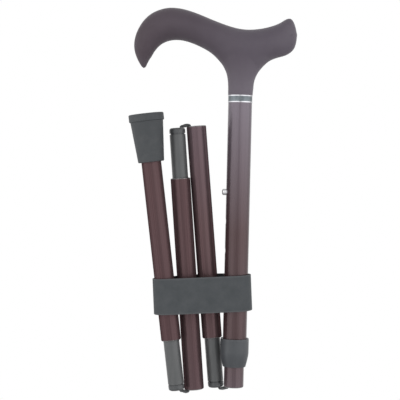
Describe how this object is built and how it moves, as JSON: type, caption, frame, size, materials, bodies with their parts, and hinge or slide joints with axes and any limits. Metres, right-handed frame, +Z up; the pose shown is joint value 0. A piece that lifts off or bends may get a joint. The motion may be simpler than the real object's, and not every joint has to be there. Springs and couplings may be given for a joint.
{
  "type": "folding cane",
  "caption": "Folding walking cane with a derby handle, height-adjusting upper tube, plug-in lower sections on an elastic cord, rubber ferrule and a band round the folded bundle.",
  "frame": {"origin": "the palm rest: the saddle on top of the handle, on the axis of the upper tube", "axes": "+Z up along the upper tube, -X towards the nose of the handle, Y across the handle"},
  "size_m": [0.1412, 0.0402, 0.3277],
  "materials": {
    "grip": "soft-touch coated matt plum-grey handle",
    "tube_finish": "aluminium tube, brown-grey coat with fine lengthwise streaks",
    "bright_trim": "polished bright ring",
    "grey_trim": "brushed grey band",
    "dark_plastic": "dark grey moulded plastic",
    "rubber": "dark grey rubber ferrule",
    "steel": "plated steel",
    "brass": "brass insert",
    "cord": "black braided elastic cord",
    "elastic": "dark grey woven elastic band"
  },
  "bodies": {
    "handle_section": {"handle_grip": "grip", "handle_insert": "brass", "handle_bolt": "steel", "handle_spigot": "dark_plastic", "trim_ring_upper": "bright_trim", "trim_band": "grey_trim", "trim_ring_lower": "bright_trim", "upper_tube": "tube_finish", "lock_bush": "dark_plastic", "lock_ring": "dark_plastic"},
    "lock_collar": {"lock_collar": "dark_plastic"},
    "inner_section": {"inner_tube": "tube_finish", "inner_tube_guide": "dark_plastic", "button_spring": "steel", "cord_anchor_top": "dark_plastic", "cord_knot_top": "cord", "cord_run_1": "cord"},
    "snap_button": {"snap_button": "steel"},
    "link_1": {"cord_bend_1": "cord"},
    "section_2": {"section_2_tube": "tube_finish", "connector_1": "dark_plastic", "connector_cap_1": "dark_plastic", "cord_run_2": "cord"},
    "link_2": {"cord_bend_2": "cord"},
    "section_3": {"section_3_tube": "tube_finish", "connector_2": "dark_plastic", "connector_cap_2": "dark_plastic", "cord_run_3": "cord"},
    "link_3": {"cord_bend_3": "cord"},
    "section_4": {"section_4_tube": "tube_finish", "connector_3": "dark_plastic", "connector_cap_3": "dark_plastic", "cord_run_4": "cord", "cord_anchor_bottom": "dark_plastic", "cord_knot_bottom": "cord", "ferrule": "rubber", "ferrule_washer": "steel"},
    "storage_band": {"storage_band": "elastic"}
  },
  "joints": [
    {"name": "collar_turn", "type": "hinge", "parent": "handle_section", "child": "lock_collar", "pos_m": [0, 0, -0.2623], "axis": [0, 0, 1], "range_deg": [0, 120]},
    {"name": "height_adjust", "type": "slide", "parent": "handle_section", "child": "inner_section", "axis": [0, 0, -1], "range_m": [0, 0.1], "deforming": ["snap_button"]},
    {"name": "button_press", "type": "slide", "parent": "inner_section", "child": "snap_button", "axis": [1, 0, 0], "range_m": [0, 0.00495], "stiffness_N_per_m": 600, "springref_m": -0.001, "deforming": ["button_spring"]},
    {"name": "fold_1", "type": "hinge", "parent": "inner_section", "child": "link_1", "pos_m": [-0.00743, 0.00548, -0.30634], "axis": [-0.5952, -0.8031, -0.0291], "range_deg": [0, 175.5], "deforming": ["cord_bend_1", "cord_bend_2", "cord_bend_3", "storage_band"]},
    {"name": "plug_1", "type": "slide", "parent": "link_1", "child": "section_2", "axis": [0.0976, 0, -0.9952], "range_m": [0, 0.0455], "deforming": ["cord_run_1", "cord_run_2", "cord_run_3", "cord_run_4"]},
    {"name": "fold_2", "type": "hinge", "parent": "section_2", "child": "link_2", "pos_m": [-0.04513, 0.00824, -0.08172], "axis": [-0.3176, 0.9478, -0.0295], "range_deg": [0, 179.44]},
    {"name": "plug_2", "type": "slide", "parent": "link_2", "child": "section_3", "axis": [-0.0872, 0, 0.9962], "range_m": [0, 0.0455]},
    {"name": "fold_3", "type": "hinge", "parent": "section_3", "child": "link_3", "pos_m": [-0.04083, 0.00084, -0.3087], "axis": [0.5364, -0.8419, 0.0592], "range_deg": [0, 177.82]},
    {"name": "plug_3", "type": "slide", "parent": "link_3", "child": "section_4", "axis": [0.1323, 0, -0.9912], "range_m": [0, 0.0455]},
    {"name": "band_slide", "type": "slide", "parent": "inner_section", "child": "storage_band", "axis": [0, 0, -1], "range_m": [0, 0.1]}
  ],
  "couplings": [
    {"joint": "fold_2", "follows": "fold_1", "ratio": 1.0224},
    {"joint": "fold_3", "follows": "fold_1", "ratio": 1.0132},
    {"joint": "plug_2", "follows": "plug_1", "ratio": 1},
    {"joint": "plug_3", "follows": "plug_1", "ratio": 1}
  ]
}
